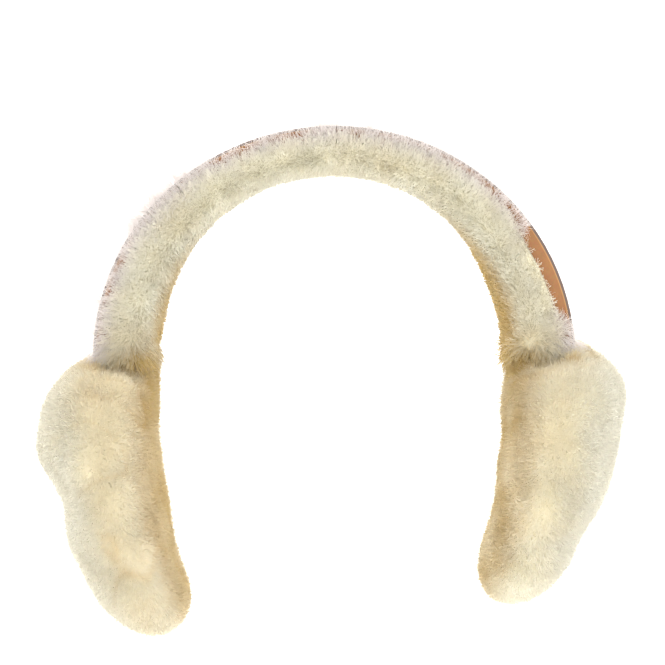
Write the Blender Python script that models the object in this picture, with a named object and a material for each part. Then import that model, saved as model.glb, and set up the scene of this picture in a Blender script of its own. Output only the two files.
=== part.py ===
"""Sheepskin earmuffs: an arched leather band lined with fleece, and a deep-fur muff over each ear.

Metres, +Z up, front toward -Y. The origin is under the top of the band, where its fleece rests
when worn.
Each deep-fur piece is a backing with locks of fur fused to it in code, and is one closed body.
"""

import math
import random
from collections import namedtuple

import bmesh
import bpy
from mathutils import Matrix, Vector
from mathutils.bvhtree import BVHTree

MM = 0.001
GAP = 0.3 * MM  # kept between any two pieces

# The arch, measured on the outer face of the leather, seen from the front
ARCH_HALF_WIDTH = 102.5 * MM
ARCH_RISE = 98.2 * MM
ARCH_CENTRE_X = 1.3 * MM
ARCH_STEPS = 50

# The leather channel
LEATHER_WIDTH = 38.0 * MM
LEATHER_WALL = 1.8 * MM
LEATHER_LIP = 7.0 * MM  # depth of the turned-in side walls
LEATHER_ROUND = 1.2 * MM

# The fleece of the band
FLEECE_OVERHANG = 8.0 * MM  # how far it stands out past each edge of the leather
FLEECE_CROWN = 21.5 * MM  # its depth at the top of the arch, from the leather's outer face
FLEECE_RISE = 2.4 * MM  # how far its locks stand out from their backing

# The muffs
EAR_SETBACK = 2.0 * MM  # from the inner side of the band's end out to a muff's ear side
MUFF_OVERLAP = 9.6 * MM  # how far a muff's fur climbs past the level of the band's end
MUFF_THICKNESS = 52.0 * MM
MUFF_DEPTH = 108.0 * MM  # front to back
LEFT_HEIGHT = 130.0 * MM
RIGHT_HEIGHT = 116.5 * MM
MUFF_CELLS = 15  # faces along each side of the cube that a muff's skin is grown from
MUFF_RISE = 5.0 * MM
EAR_FLATNESS = 0.65  # under 1 squares off the ear side
SEAT_CLEARANCE = 1.0 * MM  # between a muff's fur and the sides of the band's end that it holds

# A lock of fur: half its length, width and thickness, and how far its tip is tilted up
LOCK_LENGTH = 14.0 * MM
LOCK_WIDTH = 9.0 * MM
LOCK_THICKNESS = 6.5 * MM
LOCK_TILT = math.radians(20)
LOCK_VARIETY = 0.18  # share by which a lock's size and lay wander
MUFF_LOCK_PITCH = 14.0 * MM
MUFF_LOCK_SCALE = 1.0
BAND_LOCK_PITCH = 10.0 * MM
BAND_LOCK_SCALE = 0.6
SEED = 11

# On a muff the locks lie away from a whorl this share of its height above its middle, and
# sweep back toward the ear by this share of how far out they grow
WHORL_HEIGHT = 0.3
LAY_SWEEP = 0.2

# Depth of the fleece along the arch, as a share of its depth at the top, and how much of the
# lap over the leather's front and back edges is left. Angles are in degrees from the right end.
Fleece = namedtuple("Fleece", "angle depth lap")
FLEECE = (
    Fleece(0, 1.43, 1.0),
    Fleece(7, 1.43, 0.8),
    Fleece(12, 1.42, 0.0),
    Fleece(29, 1.36, 0.0),
    Fleece(35, 1.30, 0.8),
    Fleece(45, 1.19, 1.0),
    Fleece(67, 1.05, 1.0),
    Fleece(90, 1.00, 1.0),
    Fleece(112, 1.02, 1.0),
    Fleece(135, 1.12, 1.0),
    Fleece(157, 1.27, 1.0),
    Fleece(180, 1.31, 1.0),
)

# Half of the fleece's free surface, in two runs. The lap climbs beside the leather, from its edge
# out to the full overhang; the pile runs from there round to the middle. Inward is a share of the
# fleece's depth, beyond is a share of the overhang, and across is a share of the half width.
Lap = namedtuple("Lap", "inward beyond")
LAP = (
    Lap(0.07, 0.36),
    Lap(0.19, 0.84),
    Lap(0.35, 1.00),
)
Pile = namedtuple("Pile", "inward across")
PILE = (
    Pile(0.52, 0.99),
    Pile(0.67, 0.93),
    Pile(0.80, 0.82),
    Pile(0.90, 0.64),
    Pile(0.96, 0.43),
    Pile(0.99, 0.21),
    Pile(1.00, 0.00),
)

# Sections of a muff from its top (1) to its bottom (-1). Centre is how far out it lies from the
# ear side and half is its reach to each side of that, as shares of the thickness; depth is a
# share of the depth. Half and depth are before the section rounds off toward top and bottom.
Section = namedtuple("Section", "height centre half depth")
LEFT_MUFF = (
    Section(1.00, 0.26, 0.62, 1.12),
    Section(0.85, 0.33, 0.65, 1.10),
    Section(0.65, 0.44, 0.60, 1.04),
    Section(0.45, 0.48, 0.56, 1.00),
    Section(0.25, 0.48, 0.55, 1.00),
    Section(0.05, 0.39, 0.46, 0.98),
    Section(-0.10, 0.34, 0.45, 0.96),
    Section(-0.30, 0.32, 0.47, 0.95),
    Section(-0.50, 0.25, 0.50, 0.93),
    Section(-0.70, 0.15, 0.54, 0.92),
    Section(-0.85, 0.06, 0.63, 0.90),
    Section(-1.00, 0.03, 0.63, 0.90),
)
RIGHT_MUFF = (
    Section(1.00, 0.36, 0.80, 1.12),
    Section(0.85, 0.43, 0.82, 1.10),
    Section(0.65, 0.48, 0.68, 1.04),
    Section(0.45, 0.48, 0.57, 1.00),
    Section(0.25, 0.46, 0.51, 1.00),
    Section(0.00, 0.40, 0.49, 0.98),
    Section(-0.25, 0.35, 0.47, 0.96),
    Section(-0.50, 0.24, 0.45, 0.94),
    Section(-0.75, 0.14, 0.52, 0.92),
    Section(-0.88, 0.08, 0.60, 0.90),
    Section(-1.00, 0.04, 0.60, 0.90),
)

LEATHER_COLOUR = (0.52, 0.25, 0.09)
LEATHER_ROUGHNESS = 0.55
FUR_COLOUR = (0.78, 0.72, 0.54)
FUR_ROUGHNESS = 0.95

# Both ends of the band stop at this level, which puts the origin under the fleece at the top
ARCH_CENTRE_Z = (FLEECE_CROWN - ARCH_HALF_WIDTH) * ARCH_RISE / ARCH_HALF_WIDTH


def material(name, colour, roughness):
    made = bpy.data.materials.new(name)
    made.use_nodes = True
    shader = made.node_tree.nodes["Principled BSDF"]
    shader.inputs["Base Color"].default_value = (*colour, 1.0)
    shader.inputs["Roughness"].default_value = roughness
    return made


def finish(bm, name, collection, surface):
    """Turns the work mesh into the named piece, facing out."""
    bm.normal_update()
    bmesh.ops.recalc_face_normals(bm, faces=bm.faces[:])
    mesh = bpy.data.meshes.new(name)
    bm.to_mesh(mesh)
    bm.free()
    if surface:
        mesh.materials.append(surface)
    obj = bpy.data.objects.new(name, mesh)
    collection.objects.link(obj)
    return obj


def between(table, at, column):
    """The column's value at this place along the table's first column, on a smooth curve."""
    rows = sorted((row[0], getattr(row, column)) for row in table)
    at = min(max(at, rows[0][0]), rows[-1][0])
    here = max(i for i in range(len(rows) - 1) if rows[i][0] <= at)
    before, after = rows[max(here - 1, 0)], rows[min(here + 2, len(rows) - 1)]
    (start, first), (end, second) = rows[here], rows[here + 1]
    span = end - start
    rise_in = (second - before[1]) / (end - before[0]) * span
    rise_out = (after[1] - first) / (after[0] - start) * span
    t = (at - start) / span
    return (
        first * (1 + 2 * t) * (1 - t) ** 2
        + rise_in * t * (1 - t) ** 2
        + second * t * t * (3 - 2 * t)
        + rise_out * t * t * (t - 1)
    )


def arch_point(angle, inward, across):
    """A point of the band: round the arch, inward from the leather's outer face, across in Y."""
    reach = ARCH_HALF_WIDTH - inward
    flattening = ARCH_RISE / ARCH_HALF_WIDTH
    return Vector((
        ARCH_CENTRE_X + reach * math.cos(angle),
        across,
        ARCH_CENTRE_Z + reach * math.sin(angle) * flattening,
    ))


def leather_channel(collection, surface):
    """One section, rounded at its outer corners, spun half a turn and flattened to the arch."""
    side = LEATHER_WIDTH / 2
    inner = side - LEATHER_WALL
    section = (
        (0, -side), (0, side), (LEATHER_LIP, side), (LEATHER_LIP, inner),
        (LEATHER_WALL, inner), (LEATHER_WALL, -inner), (LEATHER_LIP, -inner), (LEATHER_LIP, -side),
    )
    bm = bmesh.new()
    corners = [bm.verts.new((ARCH_HALF_WIDTH - inward, across, 0)) for inward, across in section]
    bm.faces.new(corners)
    bmesh.ops.bevel(
        bm, geom=corners[:2], offset=LEATHER_ROUND, segments=2, profile=0.5, affect="VERTICES"
    )
    bmesh.ops.spin(
        bm, geom=bm.verts[:] + bm.edges[:] + bm.faces[:], cent=(0, 0, 0), axis=(0, -1, 0),
        angle=math.pi, steps=ARCH_STEPS,
    )
    bmesh.ops.scale(bm, verts=bm.verts[:], vec=(1, 1, ARCH_RISE / ARCH_HALF_WIDTH))
    bmesh.ops.translate(bm, verts=bm.verts[:], vec=(ARCH_CENTRE_X, 0, ARCH_CENTRE_Z))
    finish(bm, "band_leather", collection, surface)


def scattered(faces, pitch, rand):
    """Faces picked in a shuffled order, none nearer to another than the pitch."""
    order = list(faces)
    rand.shuffle(order)
    picked = []
    for face in order:
        centre = face.calc_center_median()
        if all((centre - place).length > pitch for place, _ in picked):
            picked.append((centre, face.normal.copy()))
    return picked


def locks_at(roots, lay, rise, scale, rand):
    """A lock on each root, tilted up along the lay, so that its highest point is at the rise."""
    bm = bmesh.new()
    for place, normal in roots:
        size = scale * rand.uniform(1 - LOCK_VARIETY, 1 + LOCK_VARIETY)
        wander = Vector([rand.uniform(-LOCK_VARIETY, LOCK_VARIETY) for _ in range(3)])
        way = lay(place).normalized() + wander
        along = (way - normal * way.dot(normal)).normalized()
        across = normal.cross(along)
        tip = along * math.cos(LOCK_TILT) + normal * math.sin(LOCK_TILT)
        length, width, thick = (size * s for s in (LOCK_LENGTH, LOCK_WIDTH, LOCK_THICKNESS))
        top = math.hypot(length * math.sin(LOCK_TILT), thick * math.cos(LOCK_TILT))
        frame = Matrix((tip * length, across * width, tip.cross(across) * thick)).transposed()
        frame = frame.to_4x4()
        frame.translation = place - normal * (top - rise)
        bmesh.ops.create_icosphere(bm, subdivisions=3, radius=1.0, matrix=frame)
    return bm


def fuse_locks(bm, faces, pitch, lay, rise, scale, seed):
    """Roots locks on these faces and draws the skin of the backing out over them."""
    rand = random.Random(seed)
    bm.normal_update()
    bmesh.ops.recalc_face_normals(bm, faces=bm.faces[:])
    bm.normal_update()
    locks = locks_at(scattered(faces, pitch, rand), lay, rise, scale, rand)
    tree = BVHTree.FromBMesh(locks)
    locks.free()
    chosen = set(faces)
    for vert in bm.verts:
        if not chosen.issuperset(vert.link_faces):
            continue
        depth = tree.ray_cast(vert.co + vert.normal * LOCK_LENGTH, -vert.normal, LOCK_LENGTH)[3]
        if depth is not None:
            vert.co += vert.normal * min(LOCK_LENGTH - depth, rise)


def fleece_section(depth, lap):
    """Half the section, as (inward, across, whether free), from the channel's floor outward."""
    floor, lip = LEATHER_WALL + GAP, LEATHER_LIP + GAP
    within, beside = LEATHER_WIDTH / 2 - LEATHER_WALL - GAP, LEATHER_WIDTH / 2 + GAP
    edge = lip - LEATHER_LIP * lap
    half = LEATHER_WIDTH / 2 + FLEECE_OVERHANG - FLEECE_RISE
    points = [(floor, within, False), (lip, within, False)]
    points += [(lip + GAP, beside, False), (edge, beside + GAP, False)]
    for row in LAP:
        inward = max(row.inward * depth, edge + row.beyond * GAP)
        points.append((inward, beside + GAP + (half - beside - GAP) * row.beyond, True))
    points += [(row.inward * depth, row.across * half, True) for row in PILE]
    return points


def band_fleece(collection, surface):
    """The fleece fills the channel, laps its edges and carries the pile on its inner side."""
    bm = bmesh.new()
    loops = []
    for step in range(ARCH_STEPS + 1):
        angle = math.pi * step / ARCH_STEPS
        place = math.degrees(angle)
        depth = FLEECE_CROWN * between(FLEECE, place, "depth") - FLEECE_RISE
        lap = min(max(between(FLEECE, place, "lap"), 0.0), 1.0)
        half = fleece_section(depth, lap)
        loop = [(inward, -across) for inward, across, _ in half]
        loop += [(inward, across) for inward, across, _ in half[-2::-1]]
        loops.append([bm.verts.new(arch_point(angle, *point)) for point in loop])
    pile = [is_free for _, _, is_free in half]
    pile += pile[-2::-1]
    free = []
    count = len(pile)
    for first, second in zip(loops, loops[1:]):
        for i in range(count):
            j = (i + 1) % count
            face = bm.faces.new((first[i], first[j], second[j], second[i]))
            if pile[i] and pile[j]:
                free.append(face)
    bm.faces.new(loops[0][::-1])
    bm.faces.new(loops[-1])

    def lay(place):
        outward = Vector((place.x - ARCH_CENTRE_X, 0, place.z - ARCH_CENTRE_Z)).normalized()
        return outward + Vector((0, place.y, 0)) / LEATHER_WIDTH

    fuse_locks(bm, free, BAND_LOCK_PITCH, lay, FLEECE_RISE, BAND_LOCK_SCALE, SEED)
    finish(bm, "band_fleece", collection, surface)


def band_end(side):
    """The band's end over one muff: how far its outer and inner sides lie from the middle."""
    outer = side * arch_point(0 if side > 0 else math.pi, 0, 0).x
    row = FLEECE[0] if side > 0 else FLEECE[-1]
    return outer, outer - row.depth * FLEECE_CROWN


def muff(name, side, sections, height, collection, cutters, surface):
    """A cube grown into a ball of even cells, drawn to the sections, then given its locks."""
    ear_side = band_end(side)[1] + EAR_SETBACK
    middle_z = ARCH_CENTRE_Z + MUFF_OVERLAP - height / 2
    bm = bmesh.new()
    bmesh.ops.create_cube(bm, size=2.0)
    bmesh.ops.subdivide_edges(bm, edges=bm.edges[:], cuts=MUFF_CELLS - 1, use_grid_fill=True)
    half_height = height / 2 - MUFF_RISE
    for vert in bm.verts:
        out, deep, up = Vector([math.tan(c * math.pi / 4) for c in vert.co]).normalized()
        ring = math.sqrt(max(1 - up * up, 0.0))
        if out < 0 and ring > 0:
            out = -ring * (-out / ring) ** EAR_FLATNESS
        centre = MUFF_THICKNESS * between(sections, up, "centre")
        half = MUFF_THICKNESS * between(sections, up, "half") - MUFF_RISE
        depth = MUFF_DEPTH / 2 * between(sections, up, "depth") - MUFF_RISE
        vert.co = (
            side * (ear_side + centre + half * out), depth * deep, middle_z + half_height * up
        )

    core = Vector((side * ear_side, 0, middle_z))

    def lay(place):
        away = place - core
        return Vector((-side * LAY_SWEEP * abs(away.x), away.y, away.z - WHORL_HEIGHT * height))

    fuse_locks(bm, bm.faces[:], MUFF_LOCK_PITCH, lay, MUFF_RISE, MUFF_LOCK_SCALE, SEED + side)
    obj = finish(bm, name, collection, surface)
    socket = obj.modifiers.new("socket for the band", "BOOLEAN")
    socket.operation = "DIFFERENCE"
    socket.solver = "EXACT"
    socket.object = band_socket(name + "_socket", side, height, cutters)


def band_socket(name, side, height, cutters):
    """The box that clears a muff's fur for the band's end, open upward."""
    outer, inner = band_end(side)
    size = (
        outer - inner + 2 * SEAT_CLEARANCE,
        LEATHER_WIDTH + 2 * (FLEECE_OVERHANG + SEAT_CLEARANCE),
        height,
    )
    middle = (side * (outer + inner) / 2, 0, ARCH_CENTRE_Z - GAP + height / 2)
    bm = bmesh.new()
    bmesh.ops.create_cube(bm, size=1.0)
    bmesh.ops.scale(bm, verts=bm.verts[:], vec=size)
    bmesh.ops.translate(bm, verts=bm.verts[:], vec=middle)
    obj = finish(bm, name, cutters, None)
    obj.hide_render = True
    obj.display_type = "WIRE"
    return obj


def main():
    for obj in list(bpy.data.objects):
        bpy.data.objects.remove(obj, do_unlink=True)
    earmuffs = bpy.data.collections.new("earmuffs")
    cutters = bpy.data.collections.new("cutters")
    for collection in (earmuffs, cutters):
        bpy.context.scene.collection.children.link(collection)
    leather_channel(earmuffs, material("tan leather", LEATHER_COLOUR, LEATHER_ROUGHNESS))
    band_fleece(earmuffs, material("band fleece", FUR_COLOUR, FUR_ROUGHNESS))
    muff(
        "muff_left", -1, LEFT_MUFF, LEFT_HEIGHT, earmuffs, cutters,
        material("left muff fur", FUR_COLOUR, FUR_ROUGHNESS),
    )
    muff(
        "muff_right", 1, RIGHT_MUFF, RIGHT_HEIGHT, earmuffs, cutters,
        material("right muff fur", FUR_COLOUR, FUR_ROUGHNESS),
    )


main()
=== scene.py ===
"""Sheepskin earmuffs in a plain white studio.

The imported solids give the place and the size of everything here. Each soft solid is replaced by
its underwool, a body sunk a millimetre or two into it, and by the wool that grows on that: flat
fibres that follow a lay, with their tips at about the solid's own surface. The leather keeps its
solid and gets a better finish.
"""

import math
from collections import namedtuple

import bmesh
import bpy
import numpy as np
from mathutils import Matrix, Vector
from mathutils.bvhtree import BVHTree


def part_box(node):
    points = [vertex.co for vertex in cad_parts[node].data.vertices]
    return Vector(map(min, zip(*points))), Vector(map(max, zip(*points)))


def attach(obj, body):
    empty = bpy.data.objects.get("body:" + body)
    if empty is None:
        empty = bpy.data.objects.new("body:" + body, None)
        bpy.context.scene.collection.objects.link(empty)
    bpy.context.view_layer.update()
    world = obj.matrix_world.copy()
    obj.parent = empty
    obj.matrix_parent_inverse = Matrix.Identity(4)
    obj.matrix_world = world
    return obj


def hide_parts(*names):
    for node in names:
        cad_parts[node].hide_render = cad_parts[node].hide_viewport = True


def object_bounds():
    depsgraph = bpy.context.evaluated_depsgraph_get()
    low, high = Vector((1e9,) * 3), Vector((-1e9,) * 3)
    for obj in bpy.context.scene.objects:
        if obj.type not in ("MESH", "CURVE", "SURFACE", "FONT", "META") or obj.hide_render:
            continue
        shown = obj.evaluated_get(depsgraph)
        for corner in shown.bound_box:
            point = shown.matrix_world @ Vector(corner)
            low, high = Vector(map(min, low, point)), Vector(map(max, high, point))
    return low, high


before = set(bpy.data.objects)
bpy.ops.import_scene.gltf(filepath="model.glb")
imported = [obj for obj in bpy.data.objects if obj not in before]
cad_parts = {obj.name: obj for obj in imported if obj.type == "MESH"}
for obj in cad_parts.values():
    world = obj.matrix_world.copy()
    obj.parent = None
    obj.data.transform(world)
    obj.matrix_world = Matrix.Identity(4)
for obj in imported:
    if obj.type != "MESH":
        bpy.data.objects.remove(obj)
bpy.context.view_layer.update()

MM = 0.001
SEED = 5

# The picture: 665 x 665 pixels at 0.43 mm each where the earmuffs hang, seen level from the front
PICTURE_WIDTH = 286 * MM
PICTURE_CENTRE = Vector((0.6 * MM, 0, -67.3 * MM))
CAMERA_DISTANCE = 1.5
CAMERA_RANGE = 20.0
SENSOR_WIDTH = 36.0

# The studio, in metres: a floor that turns up behind the earmuffs, a white sky and two lamps
FLOOR_DROP = 120 * MM  # from the lowest point of the wool down to the floor
FLOOR_FRONT = -3.0
FLOOR_BACK = 1.6
TURN_RADIUS = 0.8
TURN_STEPS = 12
COVE_HEIGHT = 3.0
COVE_HALF_WIDTH = 4.0
SKY_STRENGTH = 2.8
Lamp = namedtuple("Lamp", "name at size power")
LAMPS = (
    Lamp("key softbox", (-0.9, -1.3, 1.1), 0.9, 1.0),
    Lamp("fill softbox", (1.2, -1.2, 0.5), 1.0, 1.2),
)

# The size of each pattern in a material
STAIN_SIZE = 18 * MM
MAT_SIZE = 6 * MM
FELT_SIZE = 1.2 * MM
FELT_DEPTH = 0.6 * MM
STROKE_SIZE = 9 * MM
NAP_SIZE = 0.9 * MM  # the nap's own grain is finer; this coarse, it shows
NAP_DEPTH = 0.25 * MM
PAPER_GRAIN = 2 * MM

# Painted light in a strip along the leather's outer edge: a pale highlight where the edge's corner
# catches the light, and a dark line of shade where the outer face turns away. Their stops are places
# in the strip, as shares of its depth, with how strong the mark is there. They fade out within the
# side walls.
EDGE_DEPTH = 3.0 * MM
MARKS_END = 1.4 * MM  # in from the outside of a side wall
MARKS_FULL = 0.6 * MM
Mark = namedtuple("Mark", "code stops")
PAINTED_EDGE_HIGHLIGHT = Mark("#97703f", ((0.38, 0), (0.49, 1), (0.58, 0)))
PAINTED_EDGE_SHADE = Mark("#4a3a32", ((0.52, 0), (0.62, 1)))

# The underwool has even cells, is smoothed in passes that each move a point by a share, and is
# sunk below the surface of its solid, from none near another piece to all of it farther off
UNDERWOOL_CELL = 2.4 * MM
UNDERWOOL_PASSES = 70
UNDERWOOL_SHARE = 0.5
MUFF_SINK = 1.7 * MM
BAND_SINK = 1.2 * MM
SINK_GAP = (1.6 * MM, 7.0 * MM)

# Wool is grown in stands. Length, width and tuft, the size of a lock, are in metres, rise is in
# degrees from the skin at the root and at the tip, per_cm2 counts fibres, rows are the stretches
# a fibre bends in and pull is how far the tips of a lock are drawn together. Real wool is about
# 0.03 mm thick; here it is wider, so that fewer fibres cover the skin.
Stand = namedtuple("Stand", "length width rise_root rise_tip per_cm2 rows tuft pull")
MUFF_WOOL = Stand(3.4 * MM, 0.23 * MM, 86, 60, 1300, 1, 1.8 * MM, 0.05)
MUFF_FUZZ = Stand(5.2 * MM, 0.10 * MM, 86, 74, 140, 1, 3.0 * MM, 0.10)
BAND_WOOL = Stand(3.6 * MM, 0.22 * MM, 72, 42, 1150, 1, 1.8 * MM, 0.06)
STRAY_WOOL = Stand(5.6 * MM, 0.13 * MM, 50, 16, 900, 2, 1.5 * MM, 0.15)
MUFF_CLEAR = 0.4 * MM  # the muffs' wool grows up to this close to the band
BAND_CLEAR = 1.6 * MM  # and the band's to the muffs

# How the fibres of one stand differ. Straying is how far a tip turns off its lay, as a share of
# its own direction; twist, and roll in radians, turn the flat of a fibre.
RISE_SPREAD = (6, 9)  # degrees at the root and at the tip
STRAYING = 0.42
START_SHARE = 0.45  # of the length, that goes the root's way; the rest goes the tip's
BEND_AT = 0.5
PULL_SPREAD = (0.3, 1.5)
FIBRE_SHADES = 0.03
LOCK_SHADES = 0.02
LOCK_BEND = 0.5  # in lock sizes, how far the rows of locks wander, and over what distance
LOCK_DRIFT = 3
TWIST = 0.3
ROLL = 1.0
WIDTH_SPREAD = (0.7, 1.3)
TIP_WIDTH = 0.3  # the less this is, the finer the tip of a fibre of more than one row
MAP_MARGIN = 0.1  # around each fibre's own square of the UV map

# Share of the piece's broad form in how a fibre takes the light, the rest being its own facing,
# and how many times that form is smoothed
SOFT_LIGHT = 0.9
LIGHT_PASSES = 60

DRIFT_WAVES = 28  # waves that are added up to make smooth random values
EVEN_STEPS = (0.7548776662, 0.5698402910)  # steps that strew points evenly over a square
CM2_PER_M2 = 1e4
NO_LENGTH = 1e-12  # a vector this short has no direction

# What changes from place to place: a base, and a swing about it that changes over this distance
Patch = namedtuple("Patch", "base swing size")

# From here on, a pair of values says where an effect starts and where it is full.

# The space beside the leather: how far from the middle, front to back, and how far inward of the
# arch's outer face
BESIDE_DEPTH = (15 * MM, 21 * MM)
BESIDE_INWARD = (0, 8 * MM)

# What sets the muffs apart: the side, -1 at the left and 1 at the right, how yellow the wool is, which
# also sets how strong the painted shade is in its creases and near the band, from where its facing
# counts as the inner side, which gets painted shade, and how much lower than its solid the top lies
# under the band and beside it
Muff = namedtuple("Muff", "node side warmth inner_from droop_under droop_beside seed")
MUFFS = (
    Muff("muff_left", -1, 1.0, 0.5, 3.0 * MM, 7.5 * MM, SEED + 10),
    Muff("muff_right", 1, 0.1, 0.2, -1.0 * MM, 3.5 * MM, SEED + 20),
)
DROOP_GAP = (3 * MM, 16 * MM)  # from the band, where that starts to fade and where it ends

# The muffs' wool lies away from a whorl, set at this share of their height, wanders, and parts in
# creases, which run where a drift is near 0. Mess and uneven are the chance in each fibre's lay
# and length. Gaps are from the band.
WHORL_HEIGHT = 0.85
LAY_WANDER = 0.8
LAY_WANDER_SIZE = 22 * MM
MUFF_MESS = 0.5
MUFF_UNEVEN = 0.16
CREASE_SPACING = 30 * MM
CREASE_WIDTH = 0.10
CREASE_CUT = 0.2
INNER_FULL = 1.15  # a facing past 1, so that the inner side never has its whole colour
INNER_PATCH = Patch(1, 0.16, 20 * MM)
JUNCTION_GAP = 4.5 * MM
JUNCTION_WIDTH = 5.5 * MM
JUNCTION_PATCH = Patch(0.7, 0.5, 7 * MM)
UPPER_GAP = (8 * MM, 40 * MM)

# What each place on a muff adds to the yellow of its wool, and what it takes off its brightness. Apart
# from the overall shares, the wool's own tone, this is painted shade: on the inner side, as from a
# head lying against it, where the muff meets the band, in its creases and on its upper part near the
# band
INNER_SHADE_YELLOW = 0.75
JUNCTION_SHADE_YELLOW = 0.5
INNER_JUNCTION_SHADE_YELLOW = 0.6
OVERALL_WARMTH = 0.12
CREASE_SHADE_YELLOW = 0.25
UPPER_SHADE_YELLOW = 0.15
MOST_WARMTH = 1.3
INNER_SHADE_DARK = 0.1
JUNCTION_SHADE_DARK = 0.06
UPPER_SHADE_DARK = 0.06
MUFF_LIGHTER = 0.02
# Painted light: the outer side of each muff paler, as if lit from behind
MUFF_RIM_GLOW = 0.7

# How far the wool of the band's front and back is combed over the leather, as a share of the
# leather's side wall, and how much of it is there. Angles run from the right end of the arch.
Combed = namedtuple("Combed", "angle reach thick")
COMBED = (
    Combed(0, 1.10, 1.00),
    Combed(6, 1.25, 1.00),
    Combed(12, 0.30, 0.75),
    Combed(17, 0.00, 0.60),
    Combed(28, 0.00, 0.50),
    Combed(33, 0.25, 0.45),
    Combed(37, 0.90, 0.45),
    Combed(45, 1.00, 0.42),
    Combed(58, 1.10, 0.60),
    Combed(68, 1.10, 0.80),
    Combed(75, 0.95, 0.50),
    Combed(80, 1.10, 0.80),
    Combed(85, 1.05, 0.60),
    Combed(91, 1.50, 0.95),
    Combed(98, 1.00, 0.55),
    Combed(108, 0.85, 0.42),
    Combed(118, 0.75, 0.42),
    Combed(127, 1.20, 0.85),
    Combed(135, 1.60, 1.00),
    Combed(145, 1.70, 1.00),
    Combed(154, 1.10, 0.50),
    Combed(162, 1.00, 0.48),
    Combed(166, 1.30, 0.85),
    Combed(170, 1.20, 0.60),
    Combed(174, 1.30, 1.00),
    Combed(180, 1.05, 1.00),
)

# Where the fleece gives way to the leather's side walls, which reach inward by the lip: it stays
# off them by the lap, and farther where the wool that is combed over them is short or thin
LIP = 7.0 * MM
LAP = 0.6 * MM
SHORT_GAP = 2.2 * MM
THIN_GAP = 1.3 * MM
FULL_REACH = 1.2
COVERED = 12 * MM  # between the side walls, wool grows only from this far inward
FLEECE_DROP_LEFT = 6.0 * MM  # how much lower than their solid the fleece's ends reach
FLEECE_DROP_RIGHT = 1.5 * MM
FLEECE_DROP_HEIGHT = (0, 9 * MM)

# The lay and the length of the band's wool. The shoulder is next to the leather, the hem is at the
# arch's ends, in degrees from them, and other distances are inward of the arch's outer face.
BAND_FLAT = 0.3
SHOULDER = (8 * MM, 14 * MM)
SHOULDER_GROWTH = 0.6
SHOULDER_FLAT = 0.45
HEM = (1, 7)
HEM_GROWTH = 1.8
HEM_LIFT = 0.5
HEM_LAY = 3
SWIRL = 0.4
SWIRL_SIZE = 9 * MM
INSIDE = (13 * MM, 22 * MM)
ROUND_LAY = 1.2
TURNED_DEPTH = 14 * MM  # up to here the pile turns inward where little is combed over the leather
TURN_GAIN = 2.2
LEAST_TURN = -0.3
BAND_MESS = 0.6
BAND_UNEVEN = 0.22
BARE_BELOW = 0.5  # below this reach the leather beside the wool counts as bare
RAGGED_PATCH = Patch(0.4, 0.5, 3 * MM)
RAGGED = (11 * MM, 15 * MM)

# The stray wool on the leather's side walls, and past them where the reach is over 1
SIDE_FACING = 0.8
SIDE_SLACK = 0.5 * MM
STRAY_PATCH = Patch(0.3, 0.8, 9 * MM)
STRAY_THINNING = 0.6
STRAY_THIN = (2 * MM, 5 * MM)
STRAY_SHORTEST = 0.35
STRAY_CLEAR = 0.3 * MM
PAST_REACH = (1, 1.5)
PAST_DEPTH = (1.5 * MM, 5 * MM)
PAST_PATCH = Patch(1, 0.6, 5 * MM)
MOST_PAST = 1.4
PAST_GROWTH = 0.8
PAST_LAY = 2

# Painted shade on the band's wool: yellower on its inside, where a head would lie against it, and
# toward its ends and at the hem, where it meets the muffs. Painted light: lighter along the top, most
# over a fold where shade falls, and a little down the sides. Then its bleached outer rim
INSIDE_SHADE_YELLOW = 0.9
INSIDE_WARM = (19 * MM, 26 * MM)
END_SHADE_YELLOW = 0.2
END_WARM = (4, 16)
HEM_SHADE_YELLOW = 0.45
HEM_INSIDE_SHADE_YELLOW = 0.75
HEM_WARM = (0, 7)
HEM_INSIDE = (11 * MM, 20 * MM)
TOP_SLOPE = (0.5, 0.95)
TOP_PAINTED_LIGHT = 0.01
FOLD_PAINTED_LIGHT = 0.12
FOLD_DEPTH = 16 * MM
FOLD_WIDTH = 5 * MM
SIDE_PAINTED_LIGHT = 0.03
RIM_DEPTH = (5 * MM, 12 * MM)
RIM_GAIN = 1.5


def drift(points, size, seed, columns=1):
    """Smooth random values around 0, mostly within -1 and 1, that change over this distance."""
    rng = np.random.default_rng(seed)
    waves = rng.normal(size=(3, DRIFT_WAVES)) * math.pi / size
    phases = rng.uniform(0, math.tau, DRIFT_WAVES)
    shares = rng.normal(size=(DRIFT_WAVES, columns)) / math.sqrt(DRIFT_WAVES)
    return np.cos(points @ waves + phases) @ shares


def patchy(patch, points, seed):
    """One value for each point, which changes from place to place as the patch says."""
    return patch.base + patch.swing * drift(points, patch.size, seed)[:, 0]


def ease(values, low, high):
    """0 below low and 1 above high, with a smooth change between."""
    t = np.clip((values - low) / (high - low), 0, 1)
    return t * t * (3 - 2 * t)


def around(values, middle, width):
    """1 at the middle, falling to 0 over about twice this width on either side."""
    return np.exp(-((values - middle) / width) ** 2)


def unit(vectors):
    """The vectors at length 1."""
    return vectors / np.maximum(np.linalg.norm(vectors, axis=1, keepdims=True), NO_LENGTH)


def dot(a, b):
    """The dot product of each pair of vectors, as a column."""
    return np.sum(a * b, axis=1, keepdims=True)


def linear(code):
    """A colour as sRGB hex, such as #c18a57, in the linear values that shaders take."""
    parts = [int(code[i:i + 2], 16) / 255 for i in (1, 3, 5)]
    return (*[p / 12.92 if p <= 0.04045 else ((p + 0.055) / 1.055) ** 2.4 for p in parts], 1.0)


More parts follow.
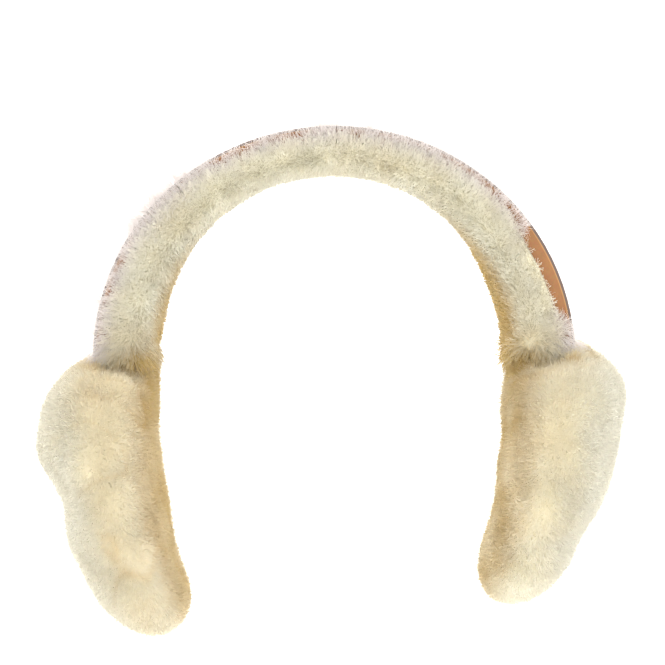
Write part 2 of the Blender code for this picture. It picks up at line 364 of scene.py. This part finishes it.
def add(tree, kind, inputs=None, **settings):
    """Adds a node. An input is a value, or the socket of another node to link. A Mix node has its
    colours at inputs 6 and 7, and the mixed colour at output 2."""
    made = tree.nodes.new(kind)
    for name, value in settings.items():
        setattr(made, name, value)
    for name, value in (inputs or {}).items():
        if isinstance(value, bpy.types.NodeSocket):
            tree.links.new(value, made.inputs[name])
        else:
            made.inputs[name].default_value = value
    return made


def new_material(name):
    """An empty material and its node tree."""
    made = bpy.data.materials.new(name)
    made.use_nodes = True
    made.node_tree.nodes.clear()
    return made, made.node_tree


# Materials


def wool(name, deep, pale, warm, rim):
    """Sheep's wool, washed and combed: matt fibres that pass half of the light on.

    It is darker at the root than at the tip, a painted shade deep in the pile. It is yellower and
    darker where the values that it reads say, which, besides the wool's own tone, is painted shade: in
    creases, where pieces meet and where a head would lie against it. It is paler toward the rim, which
    on the muffs is painted light from behind and on the band is its bleached outer wool. It is faintly
    stained, and no two fibres are quite alike.
    """
    made, tree = new_material(name)
    along, shade, warmth, rimward = (
        add(tree, "ShaderNodeAttribute", attribute_name=field).outputs["Fac"]
        for field in ("along", "shade", "warm", "rim")
    )
    fibre = add(
        tree, "ShaderNodeMix", {0: along, 6: linear(deep), 7: linear(pale)}, data_type="RGBA"
    )
    place = add(tree, "ShaderNodeTexCoord").outputs["Object"]
    stain = add(
        tree, "ShaderNodeTexNoise", {"Vector": place, "Scale": 1 / STAIN_SIZE, "Detail": 2.0}
    )
    stained = add(
        tree, "ShaderNodeMapRange",
        {"Value": stain.outputs["Fac"], "From Min": 0.42, "From Max": 0.72, "To Max": 0.15},
    )
    amount = add(
        tree, "ShaderNodeMath", {0: warmth, 1: stained.outputs["Result"]}, operation="ADD"
    )
    warmed = add(
        tree, "ShaderNodeMix",
        {0: amount.outputs[0], 6: fibre.outputs[2], 7: linear(warm)},
        data_type="RGBA", blend_type="MULTIPLY",
    )
    toward_rim = add(
        tree, "ShaderNodeMix", {0: rimward, 6: warmed.outputs[2], 7: linear(rim)},
        data_type="RGBA",
    )
    colour = add(
        tree, "ShaderNodeHueSaturation", {"Value": shade, "Color": toward_rim.outputs[2]}
    ).outputs["Color"]
    surface = add(
        tree, "ShaderNodeBsdfPrincipled",
        {"Base Color": colour, "Roughness": 0.75, "Specular IOR Level": 0.2},
    )
    glow = add(tree, "ShaderNodeBsdfTranslucent", {"Color": colour})
    both = add(
        tree, "ShaderNodeMixShader", {0: 0.5, 1: surface.outputs[0], 2: glow.outputs[0]}
    )
    add(tree, "ShaderNodeOutputMaterial", {"Surface": both.outputs[0]})
    return made


def underwool_material(name, deep, pale):
    """The matted wool near the skin: darker than the tips, which is painted shade deep in the pile,
    felted and rough.
    """
    made, tree = new_material(name)
    place = add(tree, "ShaderNodeTexCoord").outputs["Object"]
    mat = add(tree, "ShaderNodeTexNoise", {"Vector": place, "Scale": 1 / MAT_SIZE, "Detail": 4.0})
    colour = add(
        tree, "ShaderNodeMix",
        {0: mat.outputs["Fac"], 6: linear(deep), 7: linear(pale)}, data_type="RGBA",
    )
    felt = add(
        tree, "ShaderNodeTexNoise", {"Vector": place, "Scale": 1 / FELT_SIZE, "Detail": 3.0}
    )
    bump = add(
        tree, "ShaderNodeBump",
        {"Height": felt.outputs["Fac"], "Strength": 0.6, "Distance": FELT_DEPTH},
    )
    surface = add(
        tree, "ShaderNodeBsdfPrincipled",
        {"Base Color": colour.outputs[2], "Roughness": 0.95, "Normal": bump.outputs[0]},
    )
    add(tree, "ShaderNodeOutputMaterial", {"Surface": surface.outputs[0]})
    return made


def suede(arch):
    """Tan suede, buffed: a soft nap that shows lighter and darker where it was stroked, with a painted
    dark line of shade along the outer edge, where the outer face turns away from the light, and a
    painted pale highlight beside it, where the edge's corner catches the light."""
    made, tree = new_material("tan suede")
    place = add(tree, "ShaderNodeTexCoord").outputs["Object"]
    strokes = add(
        tree, "ShaderNodeTexNoise", {"Vector": place, "Scale": 1 / STROKE_SIZE, "Detail": 4.0}
    )
    nap = add(tree, "ShaderNodeTexNoise", {"Vector": place, "Scale": 1 / NAP_SIZE, "Detail": 2.0})
    tone = add(
        tree, "ShaderNodeMix",
        {0: strokes.outputs["Fac"], 6: linear("#653f1b"), 7: linear("#86592b")}, data_type="RGBA",
    )
    fine = add(
        tree, "ShaderNodeMix",
        {0: 0.3, 6: tone.outputs[2], 7: nap.outputs["Color"]},
        data_type="RGBA", blend_type="SOFT_LIGHT",
    )
    # Where a point lies in the strip along the outer edge, 0 at its inner side and 1 at the edge
    flat = add(
        tree, "ShaderNodeMapping",
        {
            "Vector": place, "Scale": (1.0, 0.0, 1 / arch.flattening),
            "Location": (-arch.centre[0], 0.0, -arch.centre[2] / arch.flattening),
        },
    )
    outward = add(tree, "ShaderNodeVectorMath", {0: flat.outputs[0]}, operation="LENGTH")
    strip = add(
        tree, "ShaderNodeMapRange",
        {
            "Value": outward.outputs["Value"], "From Min": arch.half_width - EDGE_DEPTH,
            "From Max": arch.half_width,
        },
    )
    # The painted highlight and shade are on the side walls only
    apart = add(tree, "ShaderNodeSeparateXYZ", {0: place})
    depth = add(tree, "ShaderNodeMath", {0: apart.outputs["Y"]}, operation="ABSOLUTE")
    on_side = add(
        tree, "ShaderNodeMapRange",
        {
            "Value": depth.outputs[0], "From Min": arch.side - MARKS_END,
            "From Max": arch.side - MARKS_FULL,
        },
    )
    coloured = fine.outputs[2]
    for mark in (PAINTED_EDGE_HIGHLIGHT, PAINTED_EDGE_SHADE):
        mask = add(tree, "ShaderNodeValToRGB", {"Fac": strip.outputs["Result"]})
        stops = mask.color_ramp.elements
        stops.remove(stops[1])
        for at, value in mark.stops[1:]:
            stops.new(at).color = (value, value, value, 1)
        stops[0].position, value = mark.stops[0]
        stops[0].color = (value, value, value, 1)
        amount = add(
            tree, "ShaderNodeMath", {0: mask.outputs["Color"], 1: on_side.outputs["Result"]},
            operation="MULTIPLY",
        )
        coloured = add(
            tree, "ShaderNodeMix", {0: amount.outputs[0], 6: coloured, 7: linear(mark.code)},
            data_type="RGBA",
        ).outputs[2]
    bump = add(
        tree, "ShaderNodeBump",
        {"Height": nap.outputs["Fac"], "Strength": 0.35, "Distance": NAP_DEPTH},
    )
    surface = add(
        tree, "ShaderNodeBsdfPrincipled",
        {
            "Base Color": coloured, "Roughness": 0.7, "Sheen Weight": 0.12,
            "Sheen Roughness": 0.5, "Normal": bump.outputs[0],
        },
    )
    add(tree, "ShaderNodeOutputMaterial", {"Surface": surface.outputs[0]})
    return made


def studio_paper():
    """Seamless white paper, matt, with a grain that hardly shows."""
    made, tree = new_material("studio paper")
    place = add(tree, "ShaderNodeTexCoord").outputs["Object"]
    grain = add(tree, "ShaderNodeTexNoise", {"Vector": place, "Scale": 1 / PAPER_GRAIN})
    colour = add(
        tree, "ShaderNodeMix",
        {0: grain.outputs["Fac"], 6: linear("#f4f4f4"), 7: linear("#fafafa")}, data_type="RGBA",
    )
    surface = add(
        tree, "ShaderNodeBsdfPrincipled", {"Base Color": colour.outputs[2], "Roughness": 0.9}
    )
    add(tree, "ShaderNodeOutputMaterial", {"Surface": surface.outputs[0]})
    return made


# The arch, read from the leather's box


class Arch:
    """The band's half ellipse. Its angle runs from the right end; inward is from the outer face."""

    def __init__(self):
        low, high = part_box("band_leather")
        self.centre = np.array(((low.x + high.x) / 2, 0, low.z))
        self.half_width = (high.x - low.x) / 2
        self.flattening = (high.z - low.z) / self.half_width
        self.side = high.y

    def place(self, points):
        """The angle in degrees and the distance inward of each point."""
        x = points[:, 0] - self.centre[0]
        z = (points[:, 2] - self.centre[2]) / self.flattening
        return np.degrees(np.arctan2(z, x)), self.half_width - np.hypot(x, z)

    def beside(self, points):
        """1 in front of the leather and behind it, easing to 0 under it and outside it."""
        inward = self.place(points)[1]
        return ease(np.abs(points[:, 1]), *BESIDE_DEPTH) * ease(inward, *BESIDE_INWARD)

    def outward(self, points):
        """The way straight out of the arch's outer face, at each point."""
        away = points - self.centre
        away[:, 1] = 0
        away[:, 2] /= self.flattening ** 2
        return unit(away)


# Underwool and wool


def mesh_arrays(mesh):
    """Points, corner triples and point normals of a mesh."""
    mesh.calc_loop_triangles()
    points = np.empty(len(mesh.vertices) * 3)
    mesh.vertices.foreach_get("co", points)
    normals = np.empty(len(mesh.vertices) * 3)
    mesh.vertices.foreach_get("normal", normals)
    corners = np.empty(len(mesh.loop_triangles) * 3, np.int32)
    mesh.loop_triangles.foreach_get("vertices", corners)
    return points.reshape(-1, 3), corners.reshape(-1, 3), normals.reshape(-1, 3)


def surface_of(*nodes):
    """A tree to look up how far a point is from these solids."""
    points, corners, base = [], [], 0
    for node in nodes:
        own_points, own_corners, _ = mesh_arrays(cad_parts[node].data)
        points.append(own_points)
        corners.append(own_corners + base)
        base += len(own_points)
    return BVHTree.FromPolygons(np.concatenate(points).tolist(), np.concatenate(corners).tolist())


def distance(tree, points):
    """How far each point is from the surface in the tree."""
    return np.array([tree.find_nearest(Vector(p))[3] for p in points])


def finish_piece(obj, slot, *nodes):
    """Puts a new piece in the scene, on the body, in place of these solids."""
    bpy.context.scene.collection.objects.link(obj)
    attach(obj, "root")
    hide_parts(*nodes)


def underwool(node, slot, neighbours, sink, surface, settle, shape=None):
    """The solid again with even cells, smoothed, sunk where no neighbour touches it, and lowered
    as settle says. Shape moves the solid's points first."""
    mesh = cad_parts[node].data.copy()
    mesh.materials.clear()
    if shape:
        points = mesh_arrays(mesh)[0]
        mesh.vertices.foreach_set("co", shape(points).ravel())
    obj = bpy.data.objects.new(node + "_underwool", mesh)
    finish_piece(obj, slot, node)
    cells = obj.modifiers.new("even cells", "REMESH")
    cells.voxel_size = UNDERWOOL_CELL
    cells.use_smooth_shade = True
    soft = obj.modifiers.new("soften", "SMOOTH")
    soft.factor = UNDERWOOL_SHARE
    soft.iterations = UNDERWOOL_PASSES
    evaluated = obj.evaluated_get(bpy.context.evaluated_depsgraph_get())
    made = bpy.data.meshes.new_from_object(evaluated)
    obj.modifiers.clear()
    obj.data = made
    points, _, normals = mesh_arrays(made)
    gaps = distance(neighbours, points)
    points -= normals * (sink * ease(gaps, *SINK_GAP))[:, None]
    points[:, 2] -= settle(points, gaps)
    made.vertices.foreach_set("co", points.ravel())
    made.update()
    made.materials.append(surface)
    return obj


def broad_normals(mesh, normals):
    """The normals of the broad form: each is blended many times over with its neighbours."""
    ends = np.empty(len(mesh.edges) * 2, np.int32)
    mesh.edges.foreach_get("vertices", ends)
    first, second = ends.reshape(-1, 2).T
    for _ in range(LIGHT_PASSES):
        total = normals.copy()
        for column in range(3):
            total[:, column] += np.bincount(first, normals[second, column], len(normals))
            total[:, column] += np.bincount(second, normals[first, column], len(normals))
        normals = unit(total)
    return normals


def roots_on(skin, per_cm2, neighbours, rng):
    """Points strewn over a skin, as many for each square centimetre, with its normals there, those
    of its broad form, and how far the nearest neighbour is."""
    points, corners, normals = mesh_arrays(skin.data)
    fields = (points, normals, broad_normals(skin.data, normals))
    gaps = distance(neighbours, points)[:, None]
    a, b, c = (points[corners[:, i]] for i in range(3))
    areas = np.linalg.norm(np.cross(b - a, c - a), axis=1) / 2
    count = int(areas.sum() * CM2_PER_M2 * per_cm2)
    turn = np.arange(count)
    chosen = np.searchsorted(np.cumsum(areas), (turn + 0.5) / count * areas.sum())
    u, v = np.sqrt((turn * EVEN_STEPS[0] + rng.random()) % 1), (turn * EVEN_STEPS[1]) % 1
    shares = np.stack([1 - u, u * (1 - v), u * v], axis=1)[:, :, None]
    at = [(field[corners[chosen]] * shares).sum(axis=1) for field in (*fields, gaps)]
    return at[0], unit(at[1]), unit(at[2]), at[3][:, 0]


def locks(roots, size, seed):
    """For each fibre, the number of the lock that it belongs to."""
    bent = roots + LOCK_BEND * size * drift(roots, LOCK_DRIFT * size, seed, 3)
    cells = np.floor(bent / size).astype(int)
    return np.unique(cells, axis=0, return_inverse=True)[1].ravel()


def comb(stand, roots, normals, lay, lengths, rng, seed, flat=0.0):
    """The centre lines of fibres from root to tip, and how light each one is. Flat is how far
    they are laid down beyond the stand's own rise, from 0 to 1."""
    count = len(roots)
    along = unit(lay - normals * dot(lay, normals))
    stand_up = 1 - np.broadcast_to(flat, count)[:, None]
    rise = np.radians(stand.rise_root + rng.normal(0, RISE_SPREAD[0], (count, 1))) * stand_up
    start = along * np.cos(rise) + normals * np.sin(rise)
    rise = np.radians(stand.rise_tip + rng.normal(0, RISE_SPREAD[1], (count, 1))) * stand_up
    end = along * np.cos(rise) + normals * np.sin(rise)
    end = unit(end + rng.normal(0, STRAYING, (count, 3)))
    tips = roots + (start * START_SHARE + end * (1 - START_SHARE)) * lengths[:, None]
    lock = locks(roots, stand.tuft, seed)
    members = np.bincount(lock)
    middles = np.stack([np.bincount(lock, tips[:, i]) / members for i in range(3)], axis=1)
    pull = stand.pull * rng.uniform(*PULL_SPREAD, (count, 1))
    tips = tips + (middles[lock] - tips) * pull
    bends = roots + start * lengths[:, None] * BEND_AT
    lines = [roots]
    for row in range(1, stand.rows + 1):
        t = row / stand.rows
        lines.append(roots * (1 - t) ** 2 + bends * 2 * t * (1 - t) + tips * t * t)
    shades = 1 + FIBRE_SHADES * rng.normal(size=count)
    shades += LOCK_SHADES * rng.normal(size=len(members))[lock]
    return lines, shades


def ribbons(name, stand, lines, normals, light, looks, slot, node, surface, rng):
    """Joins flat fibres into one mesh: a point at the root, then a pair of points at each row.
    Looks are the values, one for each fibre, that the wool's material reads by name."""
    count = len(lines[0])
    run = unit(lines[-1] - lines[0])
    across = unit(np.cross(run, normals + TWIST * rng.normal(size=(count, 3))))
    facing = np.cross(across, run)
    roll = rng.uniform(-ROLL, ROLL, (count, 1))
    across = across * np.cos(roll) + facing * np.sin(roll)
    half = stand.width / 2 * rng.uniform(*WIDTH_SPREAD, (count, 1))
    columns, along, across_map, up_map = [lines[0]], [0.0], [0.5], [MAP_MARGIN]
    for row, line in enumerate(lines[1:], 1):
        t = row / stand.rows
        wide = (stand.rows - row + TIP_WIDTH) / (stand.rows - 1 + TIP_WIDTH)
        columns += [line + across * half * wide, line - across * half * wide]
        along += [t, t]
        across_map += [1 - MAP_MARGIN, MAP_MARGIN]
        up_map += [MAP_MARGIN + (1 - 2 * MAP_MARGIN) * t] * 2
    size = len(columns)
    points = np.stack(columns, axis=1).reshape(-1, 3)
    faces = [(0, 1, 2)] + [(i, i + 2, i + 3, i + 1) for i in range(1, size - 2, 2)]
    pattern = np.concatenate([np.array(f) for f in faces])
    starts = np.cumsum([0] + [len(f) for f in faces])
    loops = (np.arange(count)[:, None] * size + pattern).ravel()
    loop_starts = (np.arange(count)[:, None] * starts[-1] + starts[:-1]).ravel()

    mesh = bpy.data.meshes.new(name)
    mesh.vertices.add(len(points))
    mesh.vertices.foreach_set("co", points.ravel())
    mesh.loops.add(len(loops))
    mesh.loops.foreach_set("vertex_index", loops)
    mesh.polygons.add(len(loop_starts))
    mesh.polygons.foreach_set("loop_start", loop_starts)
    mesh.update(calc_edges=True)
    soft = unit(light * SOFT_LIGHT + unit(np.cross(across, run)) * (1 - SOFT_LIGHT))
    light_way = mesh.attributes.new("custom_normal", "FLOAT_VECTOR", "POINT")
    light_way.data.foreach_set("vector", np.repeat(soft, size, axis=0).ravel())
    fields = {"along": np.tile(along, count)}
    fields.update((look, np.repeat(values, size)) for look, values in looks.items())
    for field, values in fields.items():
        mesh.attributes.new(field, "FLOAT", "POINT").data.foreach_set("value", values)

    side = math.ceil(math.sqrt(count))
    cell = np.arange(count)
    u = (cell[:, None] % side + np.array(across_map)) / side
    v = (cell[:, None] // side + np.array(up_map)) / side
    places = np.stack([u.ravel(), v.ravel()], axis=1)[loops]
    mesh.uv_layers.new(name="OFBake").data.foreach_set("uv", places.ravel())

    mesh.materials.append(surface)
    obj = bpy.data.objects.new(name, mesh)
    finish_piece(obj, slot, node)


def split_halves(name, stand, lines, normals, light, looks, slot, node, surface, rng):
    """The front wool and the back wool of a piece, each one mesh."""
    front = lines[0][:, 1] < 0
    for half, chosen in (("front", front), ("back", ~front)):
        ribbons(
            f"{name}_{half}", stand, [line[chosen] for line in lines], normals[chosen],
            light[chosen], {look: values[chosen] for look, values in looks.items()}, slot, node,
            surface, rng,
        )


def dress_muff(arch, muff, surface, under):
    """A muff's underwool with deep wool that lies away from a whorl near its top."""
    band = surface_of("band_leather", "band_fleece")

    def settle(points, gaps):
        """How much lower the muff's top lies near the band, under it and beside it."""
        beside = (muff.droop_beside - muff.droop_under) * arch.beside(points)
        return (1 - ease(gaps, *DROOP_GAP)) * (muff.droop_under + beside)

    skin = underwool(muff.node, "fur", band, MUFF_SINK, under, settle)
    low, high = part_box(muff.node)
    whorl = np.array(((low.x + high.x) / 2, 0, low.z + WHORL_HEIGHT * (high.z - low.z)))
    for stand, part in ((MUFF_WOOL, "wool"), (MUFF_FUZZ, "fuzz")):
        rng = np.random.default_rng(muff.seed)
        roots, normals, light, gap = roots_on(skin, stand.per_cm2, band, rng)
        open_air = gap > MUFF_CLEAR
        roots, normals, light, gap = (x[open_air] for x in (roots, normals, light, gap))
        crease = around(drift(roots, CREASE_SPACING, muff.seed)[:, 0], 0, CREASE_WIDTH)
        lay = unit(roots - whorl) + LAY_WANDER * drift(roots, LAY_WANDER_SIZE, muff.seed, 3)
        lay += MUFF_MESS * rng.normal(size=lay.shape)
        lengths = stand.length * (1 + MUFF_UNEVEN * rng.normal(size=len(roots)))
        lengths *= 1 - CREASE_CUT * crease
        lines, shades = comb(stand, roots, normals, lay, lengths, rng, muff.seed)

        # Painted shade, yellower and darker: on the inner side, as from a head lying against it, where
        # the muff meets the band, in its creases and on its upper part near the band
        facing_out = muff.side * light[:, 0]
        inner = ease(-facing_out, muff.inner_from, INNER_FULL) * patchy(INNER_PATCH, roots, muff.seed)
        junction = around(gap, JUNCTION_GAP, JUNCTION_WIDTH) * patchy(JUNCTION_PATCH, roots, muff.seed)
        upper = 1 - ease(gap, *UPPER_GAP)
        warm = OVERALL_WARMTH + CREASE_SHADE_YELLOW * crease + UPPER_SHADE_YELLOW * upper
        warm = muff.warmth * warm + INNER_SHADE_YELLOW * inner
        warm += (JUNCTION_SHADE_YELLOW + INNER_JUNCTION_SHADE_YELLOW * inner) * junction
        shades += MUFF_LIGHTER - INNER_SHADE_DARK * inner
        shades -= JUNCTION_SHADE_DARK * junction + UPPER_SHADE_DARK * upper
        looks = {
            "shade": shades, "warm": np.clip(warm, 0, MOST_WARMTH),
            # painted light: the outer side paler, as if lit from behind
            "rim": MUFF_RIM_GLOW * ease(facing_out, 0, 1),
        }
        split_halves(
            f"{muff.node}_{part}", stand, lines, normals, light, looks, "fur", muff.node, surface,
            rng,
        )


def combed_at(angles, column):
    """One column of the table of combed wool, at these angles of the arch."""
    table = [(row.angle, getattr(row, column)) for row in COMBED]
    return np.interp(angles, *zip(*table))


def from_ends(angles):
    """Degrees from the nearer end of the arch."""
    return np.minimum(angles, 180 - angles)


def band_underwool(arch, surface):
    """The band's underwool, pulled back from the leather's side walls and let down at its ends."""

    def without_lap(points):
        """The fleece without what laps over the leather's sides, where the stray wool goes."""
        angles, inward = arch.place(points)
        reach, thick = combed_at(angles, "reach"), combed_at(angles, "thick")
        edge = LIP + LAP + SHORT_GAP * np.clip(FULL_REACH - reach, 0, 1)
        edge += THIN_GAP * (1 - thick) * reach
        beside = (np.abs(points[:, 1]) > arch.side) & (inward < edge)
        shift = np.where(beside, edge - inward, 0.0)
        return points - arch.outward(points) * shift[:, None]

    def settle(points, gaps):
        """How far the fleece's ends reach down, in front of the leather and behind it."""
        left = points[:, 0] < arch.centre[0]
        low = 1 - ease(points[:, 2] - arch.centre[2], *FLEECE_DROP_HEIGHT)
        return np.where(left, FLEECE_DROP_LEFT, FLEECE_DROP_RIGHT) * low * arch.beside(points)

    others = surface_of("band_leather", "muff_left", "muff_right")
    return underwool("band_fleece", "fleece", others, BAND_SINK, surface, settle, without_lap)


def dress_band(arch, surface, under):
    """The band's fleece: a swirled pile, and fine stray wool that lies over the leather's sides."""
    skin = band_underwool(arch, under)
    muffs = surface_of("muff_left", "muff_right")
    rng = np.random.default_rng(SEED)
    roots, normals, light, gap = roots_on(skin, BAND_WOOL.per_cm2, muffs, rng)
    uncovered = (np.abs(roots[:, 1]) > arch.side) | (arch.place(roots)[1] > COVERED)
    open_air = (gap > BAND_CLEAR) & uncovered
    roots, normals, light = (x[open_air] for x in (roots, normals, light))
    angles, inward = arch.place(roots)
    shoulder = (1 - ease(inward, *SHOULDER)) * combed_at(angles, "thick")
    shoulder *= np.clip(combed_at(angles, "reach"), 0, 1)
    hem = 1 - ease(from_ends(angles), *HEM)
    lengths = BAND_WOOL.length * (1 + SHOULDER_GROWTH * shoulder + HEM_GROWTH * hem)
    flat = np.maximum(BAND_FLAT, SHOULDER_FLAT * shoulder) * (1 - HEM_LIFT * hem)
    grow_on_band(arch, BAND_WOOL, "wool", roots, normals, light, lengths, surface, rng, flat=flat)

    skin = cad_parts["band_leather"]
    roots, normals, _, _ = roots_on(skin, STRAY_WOOL.per_cm2, muffs, rng)
    angles, inward = arch.place(roots)
    reach, thick = combed_at(angles, "reach"), combed_at(angles, "thick")
    on_side = np.abs(normals[:, 1]) > SIDE_FACING
    on_side &= np.abs(roots[:, 1]) > arch.side - SIDE_SLACK
    patches = patchy(STRAY_PATCH, roots, SEED) - STRAY_THINNING * ease(inward, *STRAY_THIN)
    grown = thick + patches * (1 - thick) > rng.random(len(roots))
    fits = on_side & grown & (LIP - inward < reach * LIP - SIDE_SLACK)
    roots, normals, reach, inward = (x[fits] for x in (roots, normals, reach, inward))
    past = np.interp(reach, PAST_REACH, (0, 1)) * (1 - ease(inward, *PAST_DEPTH))
    past *= np.clip(patchy(PAST_PATCH, roots, SEED), 0, MOST_PAST)
    lengths = STRAY_SHORTEST + (1 - STRAY_SHORTEST) * np.clip(reach, 0, FULL_REACH)
    lengths = STRAY_WOOL.length * (lengths + PAST_GROWTH * past)
    grow_on_band(
        arch, STRAY_WOOL, "stray_wool", roots, normals, normals, lengths, surface, rng, past=past,
        clear=STRAY_CLEAR,
    )


def grow_on_band(
    arch, stand, part, roots, normals, light, length, surface, rng, flat=0.0, past=0.0, clear=0.0
):
    """Wool on the band. It lies outward on the band's sides, round the band on its inside and
    down at its ends. Past is how far it reaches over the outer edge, and clear is how far it
    stays off the leather's sides."""
    angles, inward = arch.place(roots)
    reach, ends = combed_at(angles, "reach"), from_ends(angles)
    outward = arch.outward(roots)
    inside = ease(inward, *INSIDE)[:, None]
    turned = np.where(inward < TURNED_DEPTH, np.clip(TURN_GAIN * reach - 1, LEAST_TURN, 1), 1)
    lay = outward * (1 - inside) * turned[:, None] + SWIRL * drift(roots, SWIRL_SIZE, SEED, 3)
    lay += np.cross(outward, (0, 1, 0)) * inside * ROUND_LAY
    lay += outward * PAST_LAY * np.broadcast_to(past, len(roots))[:, None]
    lay[:, 2] -= HEM_LAY * (1 - ease(ends, *HEM))
    lay += BAND_MESS * rng.normal(size=lay.shape)
    lengths = length * (1 + BAND_UNEVEN * rng.normal(size=len(roots)))
    beside_bare = np.interp(reach, (0, BARE_BELOW), (1, 0)) * (1 - ease(inward, *RAGGED))
    lengths *= 1 - patchy(RAGGED_PATCH, roots, SEED) * beside_bare
    lines, shades = comb(stand, roots, normals, lay, lengths, rng, SEED, flat)
    if clear:
        for line in lines[1:]:
            line[:, 1] = np.sign(roots[:, 1]) * np.maximum(np.abs(line[:, 1]), arch.side + clear)

    # Painted shade, yellower: on the inside, where a head would lie, and toward the ends and at the
    # hem, where the band meets the muffs. Painted light: lighter along the top, most over the fold,
    # and down the sides.
    hem = HEM_SHADE_YELLOW + HEM_INSIDE_SHADE_YELLOW * ease(inward, *HEM_INSIDE)
    warm = np.maximum(INSIDE_SHADE_YELLOW * ease(inward, *INSIDE_WARM), hem * (1 - ease(ends, *HEM_WARM)))
    warm = np.maximum(warm, END_SHADE_YELLOW * (1 - ease(ends, *END_WARM)))
    top = ease(np.sin(np.radians(angles)), *TOP_SLOPE)
    fold = around(inward, FOLD_DEPTH, FOLD_WIDTH)
    shades += top * (TOP_PAINTED_LIGHT + FOLD_PAINTED_LIGHT * fold) + SIDE_PAINTED_LIGHT * (1 - top)
    rim = (1 - ease(inward, *RIM_DEPTH)) * np.clip(RIM_GAIN * reach, 0, 1)
    looks = {"shade": shades, "warm": warm, "rim": rim}
    split_halves(
        f"band_{part}", stand, lines, normals, light, looks, "fleece", "band_fleece", surface, rng
    )


def dress_leather(arch):
    """The leather keeps its solid, and only its material is new."""
    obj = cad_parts["band_leather"]
    surface = suede(arch)
    if obj.material_slots:
        obj.material_slots[0].material = surface
    else:
        obj.data.materials.append(surface)


# The studio


def cove():
    """White paper, laid under the earmuffs and turned up behind them."""
    floor_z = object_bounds()[0].z - FLOOR_DROP
    profile = [(FLOOR_FRONT, floor_z)]
    for step in range(TURN_STEPS + 1):
        angle = math.pi / 2 * step / TURN_STEPS
        y = FLOOR_BACK + TURN_RADIUS * math.sin(angle)
        profile.append((y, floor_z + TURN_RADIUS * (1 - math.cos(angle))))
    profile.append((FLOOR_BACK + TURN_RADIUS, floor_z + COVE_HEIGHT))
    bm = bmesh.new()
    ends = (-COVE_HALF_WIDTH, COVE_HALF_WIDTH)
    rows = [[bm.verts.new((x, y, z)) for x in ends] for y, z in profile]
    for (a, b), (c, d) in zip(rows, rows[1:]):
        bm.faces.new((a, b, d, c))
    mesh = bpy.data.meshes.new("studio_cove")
    bm.to_mesh(mesh)
    bm.free()
    mesh.shade_smooth()
    mesh.materials.append(studio_paper())
    obj = bpy.data.objects.new("studio_cove", mesh)
    bpy.context.scene.collection.objects.link(obj)


def light_studio():
    """Soft light from all round, and two large lamps in front."""
    world = bpy.data.worlds.new("white studio")
    world.use_nodes = True
    sky = world.node_tree.nodes["Background"].inputs
    sky["Color"].default_value = (1.0, 1.0, 1.0, 1.0)
    sky["Strength"].default_value = SKY_STRENGTH
    bpy.context.scene.world = world
    for lamp in LAMPS:
        light = bpy.data.lights.new(lamp.name, "AREA")
        light.size = lamp.size
        light.energy = lamp.power
        obj = bpy.data.objects.new(lamp.name, light)
        obj.location = lamp.at
        aim = PICTURE_CENTRE - obj.location
        obj.rotation_euler = aim.to_track_quat("-Z", "Y").to_euler()
        bpy.context.scene.collection.objects.link(obj)


def camera():
    """A level camera straight in front of the earmuffs."""
    data = bpy.data.cameras.new("camera")
    data.sensor_width = SENSOR_WIDTH
    data.lens = SENSOR_WIDTH * CAMERA_DISTANCE / PICTURE_WIDTH
    data.clip_end = CAMERA_RANGE
    obj = bpy.data.objects.new("camera", data)
    obj.location = PICTURE_CENTRE + Vector((0, -CAMERA_DISTANCE, 0))
    obj.rotation_euler = (math.pi / 2, 0, 0)
    bpy.context.scene.collection.objects.link(obj)
    bpy.context.scene.camera = obj


def main():
    camera()
    # The underwool is darker than the wool's tips, most on the band: painted shade deep in the pile
    muff_under = underwool_material("underwool, deep", "#f2ead0", "#f9f3e0")
    band_under = underwool_material("underwool, combed", "#b4ac91", "#bfb8a1")
    muff_surface = wool("washed wool, deep", "#faf3d8", "#fcf8e8", "#e6d0a2", "#e2dfd2")
    band_surface = wool("washed wool, combed", "#e0dbc4", "#e4e1d2", "#e4ca94", "#e0dad6")
    arch = Arch()
    dress_leather(arch)
    for muff in MUFFS:
        dress_muff(arch, muff, muff_surface, muff_under)
    dress_band(arch, band_surface, band_under)
    cove()
    light_studio()
    bpy.context.scene.view_settings.view_transform = "Standard"


main()
